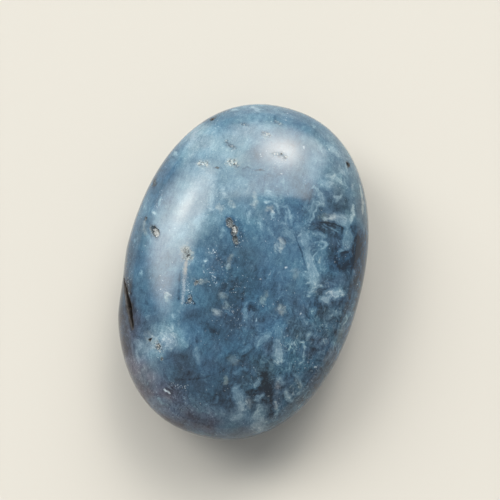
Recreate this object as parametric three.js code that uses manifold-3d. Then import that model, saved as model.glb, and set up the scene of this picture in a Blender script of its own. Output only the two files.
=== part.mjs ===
// A palm stone: one piece of polished blue agate, oval seen from above and pillow-shaped from the side.
// It lies on a small flat spot. Natural hollows break its polish, some of them lined with quartz crystals,
// and an open crevice runs along the shoulder of its left rim.
//
// Millimetres, +Z up. X runs across the stone, Y along it, and the origin is the middle of the flat spot.
import * as THREE from "three";
import { mergeVertices } from "three/addons/utils/BufferGeometryUtils.js";
import Module from "manifold-3d";

// Driving dimensions.
const LENGTH = 69;
const WIDTH = 48;
const THICKNESS = 24;
const FLAT_CUT = 0.2; // how much of the round belly the flat spot takes away
const PLAN_POWER = 2.2; // 2 is a true ellipse seen from above, more is squarer
const PROFILE_POWER = 2.3; // the same for the side view

// What follows from them.
const HALF_LENGTH = LENGTH / 2;
const HALF_WIDTH = WIDTH / 2;
const HALF_HEIGHT = (THICKNESS + FLAT_CUT) / 2;
const MIDDLE_Z = THICKNESS - HALF_HEIGHT; // height of the widest outline

const BODY_DETAIL = 15; // 20 * (BODY_DETAIL + 1)^2 faces, odd so that a corner lies at each end of each axis
const HOLLOW_DETAIL = 1;

// A broad dip in the left rim, beside the crevice.
const DIP = { at: [-23.4, -8.6, MIDDLE_Z], radius: 8, depth: 0.5 };

// Natural hollows: at is the place on the face, long lies turn degrees from the stone's length, clockwise
// seen from above, and crystals is how many quartz points line it.
const TOP_HOLLOWS = [
  { at: [-18.7, 1.8], long: 3.4, wide: 1.7, deep: 0.8, turn: -52, crystals: 6 }, // left of the middle
  { at: [-4.5, 6.6], long: 2.2, wide: 1.6, deep: 0.35, turn: -25, crystals: 0 }, // upper end of the middle one
  { at: [-3.3, 5.4], long: 2.3, wide: 1.3, deep: 0.5, turn: -25, crystals: 6 }, // its deepest part
  { at: [-2.6, 3.6], long: 2.3, wide: 1.1, deep: 0.5, turn: -30, crystals: 0 }, // its lower end
  { at: [-10.7, -1.7], long: 0.9, wide: 0.7, deep: 0.2, turn: 0, crystals: 0 }, // head of the seam
  { at: [-8.2, -10.2], long: 1.1, wide: 0.8, deep: 0.25, turn: 30, crystals: 0 }, // foot of the seam
  { at: [-7.8, -6.6], long: 0.9, wide: 0.6, deep: 0.2, turn: 60, crystals: 0 },
  { at: [-6.8, 18.5], long: 0.6, wide: 0.4, deep: 0.2, turn: 60, crystals: 0 },
  { at: [-9.9, 17.0], long: 0.9, wide: 0.4, deep: 0.2, turn: 85, crystals: 0 },
  { at: [1.8, 23.0], long: 0.45, wide: 0.4, deep: 0.2, turn: 0, crystals: 0 },
  { at: [-13.6, 27.8], long: 1.3, wide: 0.8, deep: 0.7, turn: 15, crystals: 0 }, // on the upper rim
  { at: [15.0, 25.3], long: 1.2, wide: 0.7, deep: 0.5, turn: -25, crystals: 0 }, // on the right rim
  { at: [-13.9, -19.4], long: 0.8, wide: 0.6, deep: 0.5, turn: 30, crystals: 0 },
  { at: [-12.0, -20.4], long: 1.2, wide: 0.9, deep: 0.3, turn: 0, crystals: 2 },
  { at: [-10.7, -22.4], long: 0.9, wide: 0.5, deep: 0.2, turn: 0, crystals: 0 },
  { at: [-21.7, 11.8], long: 1.6, wide: 0.7, deep: 0.3, turn: 20, crystals: 0 }, // on the left rim
  { at: [-21.2, 4.1], long: 0.9, wide: 0.6, deep: 0.3, turn: -40, crystals: 0 },
];
const UNDER_HOLLOWS = [
  { at: [11.5, 14.0], long: 2.6, wide: 1.4, deep: 0.7, turn: 35, crystals: 4 },
  { at: [-9.0, -17.5], long: 1.8, wide: 1.2, deep: 0.5, turn: -20, crystals: 2 },
  { at: [8.2, -9.4], long: 1.2, wide: 0.8, deep: 0.4, turn: 70, crystals: 0 },
  { at: [-12.4, 9.2], long: 1.0, wide: 0.7, deep: 0.4, turn: 0, crystals: 0 },
];

// Open cracks: each follows its points on the face, is widest at mid length and closes at both ends.
const CRACKS = [
  {
    along: [[-22.8, -8.2], [-21.2, -11.2], [-19.9, -13.6], [-18.9, -16.0], [-18.0, -18.0]], // the crevice
    wide: 1.4,
    deep: 1.6,
  },
  {
    along: [[-10.8, -3.0], [-10.4, -6.2], [-10.0, -8.2], [-9.5, -11.2]], // the seam
    wide: 0.6,
    deep: 0.1,
  },
  {
    along: [[12.3, 11.3], [14.2, 11.9], [17.0, 12.0]], // beside the plumes
    wide: 0.3,
    deep: 0.1,
  },
];
const CRACK_STATIONS = 15;

// Quartz points.
const CRYSTAL_RADIUS = 0.3;
const CRYSTAL_SIDES = 6;
const CRYSTAL_SPREAD = 0.62; // share of a hollow's opening that holds crystals
const CRYSTAL_LEAN = 0.5; // radians, the most that a crystal leans
const GOLDEN_ANGLE = Math.PI * (3 - Math.sqrt(5));

const STONE_BLUE = 0x5d7f9c;

const wasm = await Module();
wasm.setup();

// A closed geometry as a manifold-3d solid, its matching vertices merged.
function solidOf(geometry) {
  const bare = geometry.clone();
  bare.deleteAttribute("normal");
  bare.deleteAttribute("uv");
  const merged = mergeVertices(bare, 1e-4);
  return new wasm.Manifold(
    new wasm.Mesh({
      numProp: 3,
      vertProperties: new Float32Array(merged.attributes.position.array),
      triVerts: new Uint32Array(merged.index.array),
    }),
  );
}

// A manifold-3d solid as a three.js geometry.
function geometryOf(solid) {
  const { vertProperties, triVerts } = solid.getMesh();
  const geometry = new THREE.BufferGeometry();
  geometry.setAttribute("position", new THREE.BufferAttribute(vertProperties, 3));
  geometry.setIndex(new THREE.BufferAttribute(triVerts, 1));
  return geometry.toNonIndexed();
}

// How far out a point lies, from its offsets from the stone's centre: 1 on the polished surface.
function reach(x, y, z) {
  const plan = Math.abs(x / HALF_WIDTH) ** PLAN_POWER + Math.abs(y / HALF_LENGTH) ** PLAN_POWER;
  const side = Math.abs(z / HALF_HEIGHT) ** PROFILE_POWER;
  return (plan ** (PROFILE_POWER / PLAN_POWER) + side) ** (1 / PROFILE_POWER);
}

// The surface point above (side 1) or below (side -1) a place in plan.
function facePoint([x, y], side) {
  const left = 1 - reach(x, y, 0) ** PROFILE_POWER;
  return new THREE.Vector3(x, y, MIDDLE_Z + side * HALF_HEIGHT * left ** (1 / PROFILE_POWER));
}

// The outward normal there, from the slope of reach.
function faceNormal(point) {
  const step = 1e-3;
  const at = [point.x, point.y, point.z - MIDDLE_Z];
  const slope = at.map((_, axis) => {
    const shifted = (by) => reach(...at.map((value, i) => (i === axis ? value + by : value)));
    return shifted(step) - shifted(-step);
  });
  return new THREE.Vector3(...slope).normalize();
}

// The whole pebble before anything is cut from it: a finely divided ball pressed to the stone's shape.
function pebble() {
  const geometry = new THREE.IcosahedronGeometry(1, BODY_DETAIL);
  const position = geometry.attributes.position;
  const dip = new THREE.Vector3(...DIP.at);
  const point = new THREE.Vector3();
  for (let i = 0; i < position.count; i += 1) {
    point.fromBufferAttribute(position, i);
    point.multiply(new THREE.Vector3(HALF_WIDTH, HALF_LENGTH, HALF_HEIGHT));
    point.divideScalar(reach(point.x, point.y, point.z));
    point.z += MIDDLE_Z;
    const near = Math.max(0, 1 - (point.distanceTo(dip) / DIP.radius) ** 2);
    point.addScaledVector(faceNormal(point), -DIP.depth * near ** 2);
    position.setXYZ(i, point.x, point.y, point.z);
  }
  return solidOf(geometry);
}

// The block below the flat spot.
function groundBlock() {
  const block = new THREE.BoxGeometry(WIDTH, LENGTH, THICKNESS);
  block.translate(0, 0, -THICKNESS / 2);
  return solidOf(block);
}

// A frame standing on the surface: its Z is the outward normal, its Y the direction turn in plan.
function surfaceFrame(point, turn) {
  const normal = faceNormal(point);
  const angle = THREE.MathUtils.degToRad(turn);
  const along = new THREE.Vector3(Math.sin(angle), Math.cos(angle), 0).projectOnPlane(normal).normalize();
  const across = along.clone().cross(normal);
  return new THREE.Matrix4().makeBasis(across, along, normal).setPosition(point);
}

// The scoop that a hollow takes out of the face.
function scoop(hollow, side) {
  const frame = surfaceFrame(facePoint(hollow.at, side), hollow.turn);
  const geometry = new THREE.IcosahedronGeometry(1, HOLLOW_DETAIL);
  geometry.scale(hollow.wide / 2, hollow.long / 2, hollow.deep);
  geometry.applyMatrix4(frame);
  return solidOf(geometry);
}

// One quartz point: a short six-sided prism under a six-sided pyramid, standing on the origin.
function crystal(radius) {
  const profile = [
    new THREE.Vector2(0, -radius),
    new THREE.Vector2(radius, -radius),
    new THREE.Vector2(radius, radius * 0.7),
    new THREE.Vector2(0, radius * 1.9),
  ];
  const geometry = new THREE.LatheGeometry(profile, CRYSTAL_SIDES);
  geometry.rotateX(Math.PI / 2); // from +Y up to +Z up
  return geometry;
}

// The quartz points on a hollow's floor, set out in a sunflower spiral and each leaning its own way.
function druse(hollow, side) {
  const frame = surfaceFrame(facePoint(hollow.at, side), hollow.turn);
  const points = [];
  for (let i = 0; i < hollow.crystals; i += 1) {
    const share = CRYSTAL_SPREAD * Math.sqrt((i + 0.5) / hollow.crystals);
    const angle = i * GOLDEN_ANGLE;
    const radius = CRYSTAL_RADIUS * (1 - 0.25 * Math.sin(3 * i));
    const geometry = crystal(radius);
    geometry.rotateZ(angle * 2);
    geometry.rotateX(CRYSTAL_LEAN * Math.sin(angle * 5));
    geometry.rotateY(CRYSTAL_LEAN * Math.cos(angle * 3));
    geometry.translate(
      (share * Math.cos(angle) * hollow.wide) / 2,
      (share * Math.sin(angle) * hollow.long) / 2,
      -hollow.deep * Math.sqrt(1 - share ** 2),
    );
    geometry.applyMatrix4(frame);
    points.push(solidOf(geometry));
  }
  return points;
}

// The wedge that an open crack takes out of the face: a row of diamond sections that shrink to nothing.
function wedge({ along, wide, deep }) {
  const path = new THREE.CatmullRomCurve3(along.map((place) => facePoint(place, 1)));
  const corners = [];
  for (let i = 0; i <= CRACK_STATIONS; i += 1) {
    const share = i / CRACK_STATIONS;
    const onPath = path.getPoint(share);
    const point = facePoint([onPath.x, onPath.y], 1);
    const normal = faceNormal(point);
    const across = path.getTangent(share).cross(normal).normalize();
    const open = Math.max(Math.sin(Math.PI * share) ** 0.6, 0.02);
    corners.push(
      point.clone().addScaledVector(across, (-open * wide) / 2),
      point.clone().addScaledVector(normal, -open * deep),
      point.clone().addScaledVector(across, (open * wide) / 2),
      point.clone().addScaledVector(normal, open * deep),
    );
  }
  const faces = [[0, 1, 2], [0, 2, 3]];
  const last = CRACK_STATIONS * 4;
  faces.push([last, last + 2, last + 1], [last, last + 3, last + 2]);
  for (let i = 0; i < last; i += 4) {
    for (let side = 0; side < 4; side += 1) {
      const next = (side + 1) % 4;
      faces.push([i + side, i + 4 + side, i + next], [i + next, i + 4 + side, i + 4 + next]);
    }
  }
  const geometry = new THREE.BufferGeometry().setFromPoints(corners);
  geometry.setIndex(faces.flat());
  return solidOf(geometry);
}

function stone() {
  let solid = pebble().subtract(groundBlock());
  for (const crack of CRACKS) solid = solid.subtract(wedge(crack));
  for (const [hollows, side] of [[TOP_HOLLOWS, 1], [UNDER_HOLLOWS, -1]]) {
    for (const hollow of hollows) solid = solid.subtract(scoop(hollow, side));
    for (const hollow of hollows) {
      for (const point of druse(hollow, side)) solid = solid.add(point);
    }
  }
  const material = new THREE.MeshStandardMaterial({ color: STONE_BLUE, roughness: 0.15, metalness: 0 });
  const mesh = new THREE.Mesh(geometryOf(solid), material);
  mesh.name = "stone";
  return mesh;
}

const palmStone = new THREE.Group();
palmStone.add(stone());

export default palmStone;
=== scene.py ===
import math
import random
from collections import namedtuple
from functools import reduce
from types import SimpleNamespace

import bmesh
import bpy
import numpy as np
from mathutils import Matrix, Vector, noise


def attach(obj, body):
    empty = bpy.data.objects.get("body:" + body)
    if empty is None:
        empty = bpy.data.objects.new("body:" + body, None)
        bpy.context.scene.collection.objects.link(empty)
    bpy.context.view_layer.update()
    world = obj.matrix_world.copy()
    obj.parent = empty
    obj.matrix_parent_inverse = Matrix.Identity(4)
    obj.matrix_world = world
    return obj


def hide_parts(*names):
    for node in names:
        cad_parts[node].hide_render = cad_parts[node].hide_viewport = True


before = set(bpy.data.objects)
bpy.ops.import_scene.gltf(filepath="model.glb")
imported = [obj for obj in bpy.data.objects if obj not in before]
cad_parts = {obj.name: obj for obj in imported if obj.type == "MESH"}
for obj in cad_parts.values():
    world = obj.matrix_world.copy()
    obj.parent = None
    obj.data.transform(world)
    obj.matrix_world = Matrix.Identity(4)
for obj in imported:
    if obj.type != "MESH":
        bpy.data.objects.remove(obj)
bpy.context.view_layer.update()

MM = 0.001

# The stone's form: a superellipsoid with a flat spot cut from its belly.
LENGTH = 69
WIDTH = 48
THICKNESS = 24
FLAT_CUT = 0.2
PLAN_POWER = 2.2
PROFILE_POWER = 2.3
HALF = np.array([WIDTH / 2, LENGTH / 2, (THICKNESS + FLAT_CUT) / 2])
MIDDLE_Z = THICKNESS - HALF[2]
CENTRE = np.array([0, 0, MIDDLE_Z])

# Cells along the edges of the first mesh, and the finer steps after it.
CELLS = (64, 92, 26)
FINE_ABOVE_Z = 9.5  # the seen side is one step finer from here up
FINE_MARGIN = 0.45  # around hollows, cracks and thin markings
FINEST_MARGIN = 0.15  # around hollows and cracks, one step finer again

# The seeds of all that is random. Without its own, the smooth noise differs from run to run.
NOISE_SEED = 2
UNDER_SEED = 11
DRUSE_SEED = 5

# A broad dip in the left rim, beside the crevice.
DIP = {"at": (-23.4, -8.6, MIDDLE_Z), "radius": 8, "depth": 0.5}

# Natural hollows: x and y on the face, length, width and depth, turn from the stone's length in degrees
# (clockwise seen from above), how many quartz points line it, how far along its length the middle of them
# lies and how far they spread, as shares of its half size.
Hollow = namedtuple("Hollow", "x y long wide deep turn points middle spread", defaults=(0, 0, 0))
TOP_HOLLOWS = [
    (-18.7, 1.8, 3.4, 1.7, 0.8, -52, 34, -0.2, 0.66),
    (-4.5, 6.6, 2.2, 1.6, 0.35, -25),
    (-3.3, 5.4, 2.3, 1.3, 0.5, -25, 26, 0, 0.58),
    (-2.6, 3.6, 2.3, 1.1, 0.5, -30),
    (-10.7, -1.7, 0.9, 0.7, 0.2, 0),
    (-8.2, -10.2, 1.1, 0.8, 0.25, 30),
    (-7.8, -6.6, 0.9, 0.6, 0.2, 60),
    (-6.8, 18.5, 0.6, 0.4, 0.2, 60),
    (-9.9, 17, 0.9, 0.4, 0.2, 85),
    (1.8, 23, 0.45, 0.4, 0.2, 0),
    (-13.6, 27.8, 1.3, 0.8, 0.7, 15),
    (15, 25.3, 1.2, 0.7, 0.5, -25),
    (-13.9, -19.4, 0.8, 0.6, 0.5, 30),
    (-12, -20.4, 1.2, 0.9, 0.3, 0, 4, 0, 0.9),
    (-10.7, -22.4, 0.9, 0.5, 0.2, 0),
    (-21.7, 11.8, 1.6, 0.7, 0.3, 20),
    (-21.2, 4.1, 0.9, 0.6, 0.3, -40),
]
UNDER_HOLLOWS = [
    (11.5, 14, 2.6, 1.4, 0.7, 35, 20, 0, 0.8),
    (-9, -17.5, 1.8, 1.2, 0.5, -20, 10, 0, 0.8),
    (8.2, -9.4, 1.2, 0.8, 0.4, 70),
    (-12.4, 9.2, 1, 0.7, 0.4, 0),
]
# Each with its side: 1 for the face, -1 for the underside.
HOLLOWS = [(Hollow(*row), 1) for row in TOP_HOLLOWS] + [(Hollow(*row), -1) for row in UNDER_HOLLOWS]
BOWL_RISE = 0.35  # how much less deep a hollow is at its rim than in its middle, as a share
HOLLOW_LIP = (0.55, 1.02)  # where its wall starts and ends, as shares of its half size
HOLLOW_ROUGHNESS = 0.25
CRACK_ROUGHNESS = 0.2

# Painted shade of the deepest pits, black on their floors: x, y and radius.
PAINTED_SHADE_PIT_FLOORS = [(-13.6, 27.8, 0.4), (15, 25.4, 0.32), (15.2, 25, 0.25), (-13.9, -19.4, 0.14)]

# Open cracks: each point along one is (x, y, half width) on the face.
CREVICE = {
    "along": [
        (-22.8, -8.4, 0.14), (-22, -9.8, 0.3), (-21.2, -11.2, 0.46), (-20.5, -12.4, 0.6),
        (-19.9, -13.6, 0.7), (-19.4, -14.8, 0.66), (-18.9, -16, 0.56), (-18.3, -17.2, 0.42),
        (-18, -17.9, 0.2),
    ],
    "deep": 1.6,
}
SEAM = {
    "along": [
        (-10.8, -3, 0.24), (-10.7, -4.5, 0.32), (-10.4, -6.2, 0.28), (-10, -8.2, 0.22), (-9.7, -10, 0.16),
        (-9.5, -11.2, 0.1),
    ],
    "deep": 0.06,
}
PLUME_SLOT = {
    "along": [
        (12.3, 11.3, 0.08), (13.1, 11.6, 0.16), (14.2, 11.9, 0.12), (15.4, 12.1, 0.09), (17, 12, 0.05),
    ],
    "deep": 0.06,
}
CRACKS = {"crevice": CREVICE, "seam": SEAM, "slot": PLUME_SLOT}
SHALLOW = 0.07  # cracks shallower than this don't break the polish

# Quartz points: the ranges of their radius in a hollow 1 mm wide, of their height as a share of the
# radius and of their lean in radians, and how deep they sit as a share of the hollow's depth.
CRYSTAL_RADIUS = (0.08, 0.17)
CRYSTAL_HEIGHT = (1.4, 2.4)
CRYSTAL_LEAN = (-0.8, 0.8)
CRYSTAL_SINK = 0.92
CRYSTAL_SIDES = 6
CRYSTAL_FOOT = 0.6  # how far its root goes down, as a share of its height
CRYSTAL_SHOULDER = 0.55  # how high its pyramid starts, as a share of its height
CRYSTAL_TAPER = 0.92  # its width at the shoulder, as a share of that at its root
GOLDEN_ANGLE = math.pi * (3 - math.sqrt(5))

# The smooth noises that bend outlines, each as (size of its features, length of its longest shift): those
# of the zones, those of all markings, cracks and hollows, and those that tear the hollows' edges besides.
ZONE_DRIFT = [(9, 3), (3.5, 1)]
WARP = [(2.4, 0.16), (0.8, 0.12)]
TEAR = [(1, 0.18), (0.4, 0.18)]

# Broad zones of the face, each (x, y, reach across, reach along, pale, violet, grey, curls). The last four,
# in per cent, are how pale, violet and grey it is and how full of fine curls.
ZONES = [
    (-3, 31, 9, 4, 55, 10, 25, 10),
    (-13, 28, 4, 4, 34, 0, 25, 10),
    (5, 32, 4, 3, 42, 0, 20, 10),
    (-8, 25, 6, 4, 68, 0, 30, 0),
    (2, 24, 7, 5, 37, 0, 10, 0),
    (-15, 21, 3.5, 5, 78, 0, 40, 0),
    (-19, 18, 2, 5, 51, 0, 5, 10),
    (-13, 21, 3, 3, 74, 0, 50, 0),
    (-14, 25, 2.5, 2.5, 80, 0, 30, 0),
    (8, 20, 3, 3, 55, 0, 0, 10),
    (6.5, 17, 3, 2, 36, 0, 0, 10),
    (-6, 20, 4, 2, 67, 0, 40, 0),
    (-2, 17, 3, 2, 42, 0, 10, 10),
    (-21, 13, 3, 5, 28, 0, 0, 10),
    (12, 25, 5, 4, 59, 10, 60, 10),
    (17, 20, 4, 4, 47, 10, 70, 20),
    (9.5, 14, 2, 3, 28, 0, 0, 20),
    (4, 15, 6, 4, 42, 0, 0, 10),
    (-7, 13, 6, 5, 60, 0, 15, 0),
    (-1, 13, 4, 3, 65, 0, 15, 10),
    (-14, 5, 4, 9, 58, 0, 5, 0),
    (-21, 3, 3, 8, 45, 0, 20, 20),
    (-9, 6, 3, 4, 66, 0, 0, 10),
    (-1, 9, 4, 3, 53, 0, 0, 10),
    (-6, -2, 4, 4, 42, 0, 5, 20),
    (-6.5, 2, 2, 3, 47, 0, 0, 20),
    (10, 8.5, 3, 2, 46, 0, 0, 30),
    (0, 4, 5, 3, 40, 0, 0, 10),
    (0, -2, 5, 4, 20, 0, 30, 30),
    (7, 3, 5, 6, 40, 0, 0, 10),
    (13.5, 15, 3, 3, 32, 30, 40, 10),
    (14, 10.5, 4, 3, 24, 10, 10, 30),
    (20, 6, 4, 5, 15, 0, 5, 60),
    (18.5, -1, 2, 3, 47, 0, 0, 50),
    (14.2, 6, 2, 3, 36, 0, 5, 30),
    (-5, -10, 5, 4, 28, 0, 15, 20),
    (2, -7, 4, 4, 18, 0, 5, 30),
    (11, -4, 3, 3, 40, 0, 0, 20),
    (8, -9, 5, 6, 33, 0, 0, 50),
    (5.5, -8, 2, 3, 24, 0, 0, 30),
    (-16, -10, 4, 5, 38, 0, 0, 10),
    # Dark at the left rim by the crevice: partly the stone's tone, partly painted shade.
    (-22, -6, 2, 7, 17, 20, 10, 10),
    (-18.5, -5, 2.5, 4, 44, 0, 0, 10),
    (-10, -10, 3, 4, 52, 0, 0, 0),
    (-3, -15, 4, 3, 24, 0, 15, 10),
    (19, -8, 5, 7, 32, 0, 35, 90),
    (-13, -20, 4, 3, 62, 15, 25, 30),
    (-15.5, -16.5, 3, 2, 36, 20, 10, 20),
    # The dark violet band low on the left rim: partly the stone's violet, partly painted shade and a painted
    # violet reflection.
    (-20, -18, 3, 5, 13, 80, 0, 10),
    (-4, -20, 6, 3, 35, 0, 0, 30),
    (-9.5, -19.5, 2.5, 2, 76, 0, 5, 30),
    (4, -20, 5, 4, 21, 0, 5, 40),
    (-14, -25, 5, 3, 51, 90, 10, 50),
    (-9, -23.5, 2, 1.5, 22, 20, 0, 20),
    (-10, -30, 5, 3, 38, 100, 0, 60),
    (-15, -28, 3, 3, 29, 100, 0, 50),
    (-4, -24, 7, 2, 18, 20, 20, 10),
    (2, -25, 3, 2, 11, 10, 10, 30),
    (13, -18, 6, 7, 26, 0, 45, 90),
    (-5, -27.5, 4, 2, 19, 60, 20, 70),
    (-3, -31, 6, 3, 27, 70, 0, 60),
    (9, -29, 6, 4, 46, 30, 50, 30),
    (15, -28, 3, 3, 13, 0, 60, 60),
    (14, -24, 4, 3, 38, 0, 60, 90),
]


def strokes(*rows):
    """Markings from rows of a strength in per cent, a softness and the points of a line on the face, each
    (x, y, half width), with all lengths in tenths of a millimetre."""
    return [
        (strength / 100, softness / 10, [(x / 10, y / 10, half / 10) for x, y, half in points])
        for strength, softness, *points in rows
    ]


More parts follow.
